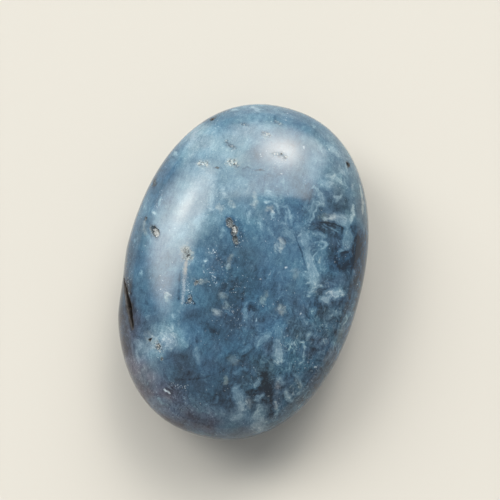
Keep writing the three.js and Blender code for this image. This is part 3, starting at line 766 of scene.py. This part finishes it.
def openings(points, warped):
    """How deep the hollows and cracks go at each point, and how far the point lies inside the hollows,
    the crevice with the deepest pits painted black as their shade, and the seam."""
    torn = shifted(warped, points, TEAR)
    rough = wobble(points, 0.35, 1)[:, 0] + 0.6 * wobble(points, 0.14, 1)[:, 1]
    depth, pit = np.zeros((2, len(points)))
    for hollow, side in HOLLOWS:
        down, out = hollow_depth(points, torn, hollow, side)
        depth = np.maximum(depth, down * (1 + HOLLOW_ROUGHNESS * rough))
        pit = np.maximum(pit, 1 - smoothstep(0.75, 1.2, out))
    inside = {}
    for name, crack in CRACKS.items():
        down, inside[name] = crack_depth(warped, crack)
        depth = np.maximum(depth, down * (1 + CRACK_ROUGHNESS * rough))
    # The deepest pits join the crevice's colour: painted shade, black on their floors.
    for x, y, radius in PAINTED_SHADE_PIT_FLOORS:
        away = np.linalg.norm(torn - face_point(x, y), axis=1)
        inside["crevice"] = np.maximum(inside["crevice"], radius - away)
    return depth, np.stack([pit, inside["crevice"], inside["seam"]], axis=1)


def linked(name, data):
    """A new object in the scene."""
    piece = bpy.data.objects.new(name, data)
    bpy.context.collection.objects.link(piece)
    return piece


def build_stone():
    """The stone, with what its material needs to know stored at each point."""
    mesh = base_mesh()
    refine(mesh, coordinates(mesh)[:, 2] > FINE_ABOVE_Z)
    refine(mesh, near_detail(coordinates(mesh), FINE_MARGIN, True))
    refine(mesh, near_detail(coordinates(mesh), FINEST_MARGIN, False))
    points = coordinates(mesh)
    normals = normals_at(points)

    warped = shifted(points, points, WARP)
    depth, opening = openings(points, warped)
    from_dip = np.linalg.norm(points - np.array(DIP["at"]), axis=1)
    dip = np.maximum(0, 1 - (from_dip / DIP["radius"]) ** 2)
    polished = (depth < SHALLOW) & (dip == 0)
    depth = depth + DIP["depth"] * dip**2

    placed = points - normals * depth[:, None]
    placed[:, 2] = np.maximum(placed[:, 2], 0)
    for v, p in zip(mesh.verts, placed * MM):
        v.co = p
    data = bpy.data.meshes.new("stone")
    mesh.to_mesh(data)
    mesh.free()
    data.polygons.foreach_set("use_smooth", [True] * len(data.polygons))

    # The polish is shaded with the true form's normals, all else with the mesh's own.
    own = np.zeros(len(points) * 3)
    data.vertex_normals.foreach_get("vector", own)
    polished &= placed[:, 2] > 1e-6
    shading = np.where(polished[:, None], normals, own.reshape(-1, 3))
    data.normals_split_custom_set_from_vertices([tuple(n) for n in shading])

    zones = zone_values(points)
    curls = data.attributes.new("curls", "FLOAT", "POINT")
    curls.data.foreach_set("value", zones[:, 3].astype(np.float32))
    stored = {"zone": zones[:, :3], "opening": opening, **marking_values(points, warped)}
    for name, values in stored.items():
        layer = data.attributes.new(name, "FLOAT_VECTOR", "POINT")
        layer.data.foreach_set("vector", values.astype(np.float32).ravel())
    return linked("agate", data)


def quartz_point(radius, height):
    """Corners and faces of one quartz point: a six-sided prism under a pyramid, rooted below the origin."""
    sides = CRYSTAL_SIDES
    corners = []
    foot = -CRYSTAL_FOOT * height
    shoulder = CRYSTAL_SHOULDER * height
    for level, width in ((foot, radius), (shoulder, radius * CRYSTAL_TAPER)):
        for i in range(sides):
            angle = i * 2 * math.pi / sides
            corners.append((width * math.cos(angle), width * math.sin(angle), level))
    corners.append((0, 0, height))
    faces = []
    for i in range(sides):
        j = (i + 1) % sides
        faces += [(i, j, sides + j, sides + i), (sides + i, sides + j, 2 * sides)]
    faces.append(tuple(reversed(range(sides))))
    return np.array(corners), faces


def build_druse():
    """All the quartz points that line the hollows, as one mesh."""
    rng = random.Random(DRUSE_SEED)
    corners, faces = [], []
    for hollow, side in HOLLOWS:
        centre, across, along, normal = surface_frame(hollow, side)
        for i in range(hollow.points):
            radius = rng.uniform(*CRYSTAL_RADIUS) * (0.7 + 0.3 * hollow.wide)
            own, own_faces = quartz_point(radius, radius * rng.uniform(*CRYSTAL_HEIGHT))
            lean_x, lean_y = [Matrix.Rotation(rng.uniform(*CRYSTAL_LEAN), 3, axis) for axis in "XY"]
            spin = Matrix.Rotation(rng.uniform(0, 1), 3, "Z")
            own = own @ np.array(lean_x @ lean_y @ spin).T
            out = hollow.spread * math.sqrt((i + 0.5) / hollow.points)
            beside = out * math.cos(i * GOLDEN_ANGLE)
            ahead = hollow.middle + out * math.sin(i * GOLDEN_ANGLE)
            floor = -hollow.deep * bowl(math.hypot(beside, ahead)) * CRYSTAL_SINK
            own += [beside * hollow.wide / 2, ahead * hollow.long / 2, floor]
            start = len(corners)
            corners += list(centre + own @ np.array([across, along, normal]))
            faces += [tuple(start + k for k in face) for face in own_faces]
    data = bpy.data.meshes.new("druse")
    data.from_pydata([tuple(c * MM) for c in corners], [], faces)
    data.validate()
    return linked("druse", data)


class Nodes:
    """Adds nodes to the tree of a material or world, which it empties first. Numbers and colours go on the
    sockets, other nodes' outputs are linked."""

    def __init__(self, owner):
        owner.use_nodes = True
        self.tree = owner.node_tree
        self.tree.nodes.clear()

    def add(self, kind, inputs=None, **settings):
        node = self.tree.nodes.new("ShaderNode" + kind)
        for name, value in settings.items():
            setattr(node, name, value)
        for socket, value in (inputs or {}).items():
            if isinstance(value, bpy.types.NodeSocket):
                self.tree.links.new(value, node.inputs[socket])
            else:
                node.inputs[socket].default_value = value
        return node

    def math(self, operation, a, b=0, clamp=False):
        return self.add("Math", {0: a, 1: b}, operation=operation, use_clamp=clamp).outputs[0]

    def plus(self, *values):
        return reduce(lambda a, b: self.math("ADD", a, b), values)

    def times(self, *values):
        return reduce(lambda a, b: self.math("MULTIPLY", a, b), values)

    def most(self, *values):
        return reduce(lambda a, b: self.math("MAXIMUM", a, b), values)

    def over(self, value, limit):
        """1 where the value is over a limit, else 0."""
        return self.math("GREATER_THAN", value, limit)

    def vector(self, operation, a, b=(0, 0, 0)):
        node = self.add("VectorMath", {0: a, 1: b}, operation=operation)
        return node.outputs["Value" if operation == "DOT_PRODUCT" else "Vector"]

    def scaled(self, vector, by):
        return self.add("VectorMath", {0: vector, "Scale": by}, operation="SCALE").outputs[0]

    def split(self, vector):
        return self.add("SeparateXYZ", {0: vector}).outputs

    def linear(self, value, low, high, start=0, end=1, kind="LINEAR"):
        """From start to end as the value goes from low to high."""
        inputs = {0: value, 1: low, 2: high, 3: start, 4: end}
        return self.add("MapRange", inputs, interpolation_type=kind).outputs[0]

    def smooth(self, value, low, high, start=0, end=1):
        return self.linear(value, low, high, start, end, "SMOOTHSTEP")

    def swing(self, value, low, high, amount):
        return self.linear(value, low, high, -amount, amount)

    def noise_node(self, at, size, detail=2, roughness=0.5, distortion=0):
        """Fractal noise with features of about a size in millimetres."""
        inputs = {"Vector": at, "Scale": 1 / size, "Detail": detail}
        return self.add("TexNoise", {**inputs, "Roughness": roughness, "Distortion": distortion})

    def noise(self, *values):
        return self.noise_node(*values).outputs[0]

    def bent(self, at, size, amount):
        """Places shifted by a smooth noise of a size, by up to half an amount each way."""
        shift = self.vector("SUBTRACT", self.noise_node(at, size).outputs["Color"], (0.5, 0.5, 0.5))
        return self.vector("ADD", at, self.scaled(shift, amount))

    def dots(self, at, density, edge, core):
        """One dot to a cell: how strongly it shows, and three random values of the cell."""
        cells = self.add("TexVoronoi", {"Vector": at, "Scale": density})
        return self.smooth(cells.outputs["Distance"], edge, core), self.split(cells.outputs["Color"])

    def mix(self, share, a, b, blend="MIX"):
        return self.add("Mix", {0: share, 6: a, 7: b}, data_type="RGBA", blend_type=blend).outputs[2]

    def ramp(self, value, stops):
        node = self.add("ValToRGB", {0: value})
        elements = node.color_ramp.elements
        while len(elements) < len(stops):
            elements.new(0.5)
        for element, (place, shade) in zip(elements, stops):
            element.position = place
            element.color = shade
        return node.outputs[0]

    def attribute(self, name, output="Vector"):
        return self.add("Attribute", attribute_type="GEOMETRY", attribute_name=name).outputs[output]

    def place(self):
        """Places on the piece, in millimetres."""
        return self.scaled(self.add("TexCoord").outputs["Object"], 1 / MM)

    def relief(self, height, strength):
        return self.add("Bump", {"Strength": strength, "Distance": RELIEF_M, "Height": height}).outputs[0]

    def surface(self, inputs):
        shader = self.add("BsdfPrincipled", inputs)
        self.add("OutputMaterial", {0: shader.outputs[0]})


def colour(red, green, blue):
    """A colour given as it looks on a screen, 0 to 255, as the shader's linear one."""
    channels = [c / 255 for c in (red, green, blue)]
    return tuple(c / 12.92 if c < 0.04045 else ((c + 0.055) / 1.055) ** 2.4 for c in channels) + (1.0,)


def tones(*stops):
    """The stops of a range of colours, each given as (tone, red, green, blue)."""
    return [(place, colour(*shade)) for place, *shade in stops]


# The agate's colours from its darkest tone to its palest.
BLUE_TONES = tones(
    (0, 20, 37, 53),
    (0.2, 40, 68, 92),
    (0.4, 60, 94, 121),
    (0.6, 87, 120, 142),
    (0.8, 121, 150, 170),
    (1, 167, 187, 201),
)
VIOLET_TONES = tones((0, 36, 37, 46), (0.3, 76, 82, 98), (0.6, 108, 115, 131), (1, 154, 162, 178))
GREY_TONES = tones(
    (0, 17, 30, 40),
    (0.25, 45, 70, 86),
    (0.5, 76, 101, 118),
    (0.75, 112, 135, 147),
    (1, 163, 179, 186),
)
TAN_TONES = tones((0.2, 74, 87, 94), (0.5, 112, 131, 140), (0.8, 148, 164, 171), (1, 184, 194, 198))
QUARTZ_TONES = tones((0.3, 120, 125, 128), (0.5, 172, 177, 180), (0.7, 220, 224, 226))
# The white of the fine specks, and of the painted glints of the sparkles and swarms.
SPECK_AND_GLINT_WHITE = colour(196, 212, 226)
# The dark of the pits, partly painted shade in them; also the colour of the dark specks.
PIT_SHADE = colour(36, 46, 54)
PIT_LIGHT = colour(118, 128, 134)
SAND_SHADE = colour(40, 49, 54)
SAND_LIGHT = colour(172, 176, 172)
# Brown-black of the crevice and the deepest pits: partly rusty stain, partly painted shade.
CREVICE_BROWN = colour(26, 21, 19)
CREVICE_RUST = colour(74, 62, 56)
SEAM_WHITE = colour(158, 172, 186)
SEAM_BEIGE = colour(150, 146, 144)
FLOOR_GREY = colour(196, 194, 190)

# What the hue is multiplied by where it wanders furthest.
COOL_TINT = (0.83, 1.02, 1.07, 1)
WARM_TINT = (1.18, 0.97, 0.92, 1)
GREEN_TINT = (0.98, 1.02, 0.97, 1)
LILAC_TINT = (1.03, 0.98, 1.03, 1)

# How far each noise moves the tone up and down, and how far it breaks up the edge of an opening.
CLOUD_SWING = 0.14
BLOTCH_SWING = 0.12
FIBRE_SWING = 0.13
GRAIN_SWING = 0.11
EDGE_SWING = 0.22

GRAIN_TURN = math.radians(-16)
STONE_IOR = 1.54
RELIEF_M = 0.00003


def agate_fields(n):
    """The places and noises that the agate's textures and markings share."""
    place = n.place()
    # Slow drift bends everything finer, and a quick one curls it.
    bent = n.bent(place, 4, 2.2)
    curled = n.bent(bent, 1.3, 1.5)
    grained = n.add("Mapping", {0: bent, 2: (0, 0, GRAIN_TURN), 3: (1, 0.25, 1)}).outputs[0]
    edge = n.noise(curled, 0.9, 5, 0.65)
    return SimpleNamespace(
        place=place,
        bent=bent,
        curled=curled,
        curls=n.attribute("curls", "Fac"),
        cloud=n.noise(bent, 4.5, 4, 0.55),
        blotch=n.noise(curled, 1.1, 4, 0.6),
        fibre=n.noise(grained, 0.45, 3, 0.6),
        grain=n.noise(place, 0.22, 2, 0.6),
        edge=edge,
        ragged=n.swing(edge, 0.3, 0.7, 0.7),
    )


def mark(n, f, kind):
    """How strongly a kind of marking shows, with its edge broken up."""
    share, strength, _ = n.split(n.attribute(kind))
    return n.times(n.smooth(n.plus(share, f.ragged), -0.9, 0.9), strength)


def agate_body(n, f):
    """The agate's colour: a tone from the zones, textures and markings, in the hues of its zone."""
    pale, violet, grey = n.split(n.attribute("zone"))
    plume, dark, tan = [mark(n, f, kind) for kind in ("plume", "dark", "tan")]

    # Marbled wisps: thin pale contour lines of a twisted noise, thickest where the zone is full of curls.
    twist = n.noise(f.bent, 4.6, 2, 0.45, 1.4)
    ring = n.math("PINGPONG", n.times(twist, 8), 0.5)
    patch = n.smooth(n.noise(f.place, 2.6), 0.42, 0.62)
    wisp = n.times(n.smooth(ring, 0.33, 0.5), n.times(n.smooth(f.edge, 0.32, 0.58), patch))
    wisp = n.times(wisp, n.linear(f.curls, 0, 1, 0.03, 0.43))
    fleck = n.times(n.smooth(f.edge, 0.56, 0.72), n.smooth(f.cloud, 0.35, 0.65, 0.06, 0.19))
    threads = n.plus(fleck, wisp)

    # Growth bands follow the plumes' outlines, inside them and a little way out.
    inside = n.split(n.attribute("plume"))[2]
    bands = n.math("PINGPONG", n.plus(n.times(inside, 1.7), n.times(f.blotch, 1.6)), 0.5)
    near_plume = n.times(n.smooth(inside, -1.5, -0.1), n.linear(f.curls, 0, 1, 0.5, 1))
    band = n.times(n.smooth(bands, 0.25, 0.5, -0.05, 0.07), near_plume)

    coarse = n.swing(f.cloud, 0.25, 0.75, CLOUD_SWING)
    coarse = n.times(coarse, n.linear(f.curls, 0, 0.6, 0.7, 1.2))
    fine = n.plus(n.swing(f.blotch, 0.25, 0.75, BLOTCH_SWING), n.swing(f.fibre, 0.2, 0.8, FIBRE_SWING))
    fine = n.times(fine, n.linear(f.curls, 0, 1, 0.65, 1.7))
    texture = n.times(n.plus(coarse, fine, threads), n.linear(plume, 0, 0.8, 1, 0.6))
    texture = n.plus(texture, n.swing(f.grain, 0.2, 0.8, GRAIN_SWING))
    tone = n.plus(pale, texture, band)
    tone = n.plus(tone, n.times(plume, n.linear(f.edge, 0.3, 0.7, 0.46, 0.6)))
    # The dark markings lower the tone; a few are painted shade, by the middle hollows and along the left
    # rim.
    tone = n.math("SUBTRACT", tone, n.times(dark, n.linear(f.blotch, 0.3, 0.7, 0.42, 0.24)))

    body = n.ramp(tone, BLUE_TONES)
    body = n.mix(violet, body, n.ramp(tone, VIOLET_TONES))
    veil = n.times(threads, 1.6)
    body = n.mix(n.math("ADD", grey, veil, clamp=True), body, n.ramp(tone, GREY_TONES))
    tan = n.times(tan, n.smooth(f.edge, 0.3, 0.56, 0.55, 1))
    body = n.mix(tan, body, n.ramp(n.plus(tone, 0.25), TAN_TONES))

    # The hue wanders between cool and warm and between green and lilac, most among the curls.
    hues = n.split(n.noise_node(f.bent, 4.5, 1.5).outputs["Color"])
    amount = n.times(n.linear(f.curls, 0, 0.8, 0.32, 1), n.linear(plume, 0, 0.6, 1, 0.3))
    for hue, high_tint, low_tint in zip(hues, (COOL_TINT, GREEN_TINT), (WARM_TINT, LILAC_TINT)):
        body = n.mix(n.times(n.smooth(hue, 0.47, 0.66), amount), body, high_tint, "MULTIPLY")
        body = n.mix(n.times(n.smooth(hue, 0.53, 0.34), amount), body, low_tint, "MULTIPLY")
    return body


def with_specks(n, f, body):
    """Adds fine white and dark specks here and there, and painted glints: finer ones in the marked swarms,
    and the sparkles.
    """
    dot, (lucky_white, lucky_dark, _) = n.dots(f.curled, 1.9, 0.2, 0.06)
    dot = n.times(dot, n.smooth(n.noise(f.place, 5), 0.42, 0.6, 0, 0.65))
    body = n.mix(n.times(dot, n.over(lucky_dark, 0.84)), body, PIT_SHADE)
    speck = n.times(dot, n.over(lucky_white, 0.7))
    # Painted glints: white dots in the swarms and the sparkles, put into the colour.
    glint, (lucky, _, _) = n.dots(f.curled, 3, 0.34, 0.14)
    glint = n.times(glint, mark(n, f, "swarm"), n.over(lucky, 0.6))
    return n.mix(n.most(speck, glint, mark(n, f, "sparkle")), body, SPECK_AND_GLINT_WHITE)


def with_sand(n, f, body):
    """Adds the gritty patches, and gives how sandy each place is."""
    sand = mark(n, f, "sand")
    gravel = n.noise(f.place, 0.4, 2, 0.7)
    body = n.mix(n.times(sand, n.smooth(gravel, 0.5, 0.4)), body, SAND_SHADE)
    return n.mix(n.times(sand, n.smooth(gravel, 0.52, 0.64)), body, SAND_LIGHT), sand


def with_openings(n, f, body):
    """Adds the pits, the seam and the crevice, and gives how open each place is: 0 on the polish."""
    pit, crevice, seam = n.split(n.attribute("opening"))
    # The pits are painted darker over their area: partly the speckled grey of their lining, partly painted
    # shade in the hollows.
    pit = n.times(pit, n.smooth(f.edge, 0.3, 0.58, 0.55, 1))
    body = n.mix(pit, body, n.mix(n.smooth(f.grain, 0.42, 0.64), PIT_SHADE, PIT_LIGHT))
    seam = n.smooth(n.plus(seam, n.swing(f.grain, 0.3, 0.7, EDGE_SWING)), -0.34, 0.22)
    seam = n.times(seam, n.smooth(f.edge, 0.34, 0.6, 0.25, 0.7))
    beige = n.smooth(n.split(f.place)[1], -8, -4)
    body = n.mix(seam, body, n.mix(beige, SEAM_WHITE, SEAM_BEIGE))
    # Painted brown-black in and just around the crevice and deepest pits: partly rusty stain, partly painted
    # shade.
    crevice = n.smooth(n.plus(crevice, n.swing(f.edge, 0.3, 0.7, EDGE_SWING)), -0.46, 0.12)
    rust = n.smooth(f.blotch, 0.5, 0.75)
    body = n.mix(crevice, body, n.mix(rust, CREVICE_BROWN, CREVICE_RUST))
    return body, n.most(pit, crevice)


def agate_material():
    material = bpy.data.materials.new("agate")
    n = Nodes(material)
    f = agate_fields(n)
    body, sand = with_sand(n, f, with_specks(n, f, agate_body(n, f)))
    body, opened = with_openings(n, f, body)
    smudge = n.linear(n.noise(f.place, 7, 4, 0.6), 0.3, 0.7, 0.05, 0.11)
    rough = n.times(n.most(opened, n.times(sand, 0.6)), 0.5)
    rough = n.math("ADD", smudge, rough, clamp=True)
    pore, _ = n.dots(f.place, 0.55, 0.1, 0.02)
    relief = n.relief(n.math("SUBTRACT", n.times(n.noise(f.place, 2.5), 0.25), pore), 0.25)
    n.surface({"Base Color": body, "Roughness": rough, "Normal": relief, "IOR": STONE_IOR})
    return material


def quartz_material():
    material = bpy.data.materials.new("quartz")
    n = Nodes(material)
    place = n.place()
    cloud = n.noise(place, 0.5, 3, 0.6)
    body = n.ramp(cloud, QUARTZ_TONES)
    rough = n.linear(cloud, 0.3, 0.7, 0.12, 0.35)
    relief = n.relief(n.noise(place, 0.15), 0.4)
    n.surface({"Base Color": body, "Roughness": rough, "Normal": relief, "IOR": STONE_IOR})
    return material


FLOOR_HALF_M = 1.2


def build_floor():
    corners = [(i * FLOOR_HALF_M, j * FLOOR_HALF_M, 0) for i, j in ((-1, -1), (1, -1), (1, 1), (-1, 1))]
    data = bpy.data.meshes.new("floor")
    data.from_pydata(corners, [], [(0, 1, 2, 3)])
    material = bpy.data.materials.new("floor")
    Nodes(material).surface({"Base Color": FLOOR_GREY, "Roughness": 0.7})
    data.materials.append(material)
    floor = linked("floor", data)


# The camera: it looks down on the stone, turned a little from the stone's length.
VIEW_TURN = math.radians(14.7)
VIEW_HEIGHT = math.radians(80)
VIEW_DISTANCE = 420
VIEW_MIDDLE = np.array([0, 0, 12])
VIEW_AIM = (1.27, 4.02)  # right of and above the middle of the stone in the picture
LENS = 150
SENSOR_WIDTH = 36
BACK = np.array(
    [
        math.sin(VIEW_TURN) * math.cos(VIEW_HEIGHT),
        -math.cos(VIEW_TURN) * math.cos(VIEW_HEIGHT),
        math.sin(VIEW_HEIGHT),
    ]
)
RIGHT = np.array([math.cos(VIEW_TURN), math.sin(VIEW_TURN), 0])
UP = np.cross(BACK, RIGHT)


def build_camera():
    data = bpy.data.cameras.new("camera")
    data.lens = LENS
    data.sensor_width = SENSOR_WIDTH
    data.clip_start = 0.01
    data.clip_end = 10
    camera = linked("camera", data)
    spot = VIEW_MIDDLE + BACK * VIEW_DISTANCE + RIGHT * VIEW_AIM[0] + UP * VIEW_AIM[1]
    rows = np.column_stack([RIGHT, UP, BACK, spot * MM]).tolist()
    camera.matrix_world = Matrix(rows + [[0, 0, 0, 1]])
    bpy.context.scene.camera = camera


# Soft windows in the room's walls, which light the stone and show in its polish. Each faces the stone
# from a wall direction; places on it are tangents of the angles towards its side and upwards. An edge is
# the angle of the way in from it, how far along that way the light starts and where it is full.
WINDOWS = [
    {
        "wall": UP,
        "side": RIGHT,
        "glow": 4,
        "edges": [(0, -0.7, 0.3), (180, -1.02, -0.66), (90, 0.05, 0.34), (270, -1.54, -1.42)],
        "core": (0.25, 0.72),
        "core_turn": 0,
        "core_size": (0.2, 0.26),
        "core_glow": 11,
    },
    {
        "wall": -RIGHT,
        "side": UP,
        "glow": 5.6,
        "edges": [(14, 0.43, 0.77), (135, -0.7, 0), (-45, -1.05, -0.45), (225, -4.2, -2.4)],
        "core": (1.12, 1.24),
        "core_turn": 45,
        "core_size": (0.42, 0.17),
        "core_glow": 7,
    },
]
LEAST_AHEAD = 0.02  # a way meets a window's wall only if it points at least this much towards it
DAYLIGHT = (1, 0.98, 0.9)
CORE_LIGHT = (1, 0.9, 0.78)
ROOM_LIGHT = (0.425, 0.43, 0.42)


def window_light(n, way, window):
    """How much of a window's even light comes along a way, and how much of its bright core."""
    ahead = n.vector("DOT_PRODUCT", way, tuple(window["wall"]))
    safe = n.most(ahead, LEAST_AHEAD)
    beside, above = [
        n.math("DIVIDE", n.vector("DOT_PRODUCT", way, tuple(edge)), safe) for edge in (window["side"], BACK)
    ]

    def along(angle):
        """How far a place on the window lies along a way at an angle in degrees."""
        angle = math.radians(angle)
        return n.plus(n.times(beside, math.cos(angle)), n.times(above, math.sin(angle)))

    inside = n.over(ahead, LEAST_AHEAD)
    for angle, start, full in window["edges"]:
        inside = n.times(inside, n.smooth(along(angle), start, full))
    away = 0
    for turn, size in zip((0, 90), window["core_size"]):
        angle = math.radians(window["core_turn"] + turn)
        middle = window["core"][0] * math.cos(angle) + window["core"][1] * math.sin(angle)
        off = n.math("SUBTRACT", along(window["core_turn"] + turn), middle)
        off = n.math("ABSOLUTE", n.math("DIVIDE", off, size))
        away = n.plus(away, n.math("POWER", off, 2))
    return inside, n.times(n.math("EXPONENT", n.times(away, -1)), inside)


def build_world():
    world = bpy.data.worlds.new("room")
    bpy.context.scene.world = world
    n = Nodes(world)
    way = n.vector("NORMALIZE", n.add("TexCoord").outputs["Generated"])
    glow = ROOM_LIGHT
    for window in WINDOWS:
        inside, core = window_light(n, way, window)
        glow = n.vector("ADD", glow, n.scaled(DAYLIGHT, n.times(inside, window["glow"])))
        glow = n.vector("ADD", glow, n.scaled(CORE_LIGHT, n.times(core, window["core_glow"])))
    shader = n.add("Background", {"Color": glow, "Strength": 1})
    n.add("OutputWorld", {0: shader.outputs[0]})


build_camera()
stone = build_stone()
stone.data.materials.append(agate_material())
druse = build_druse()
druse.data.materials.append(quartz_material())
for piece in (stone, druse):
    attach(piece, "root")
    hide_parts("stone")
build_floor()
build_world()
bpy.context.scene.view_settings.view_transform = "Standard"
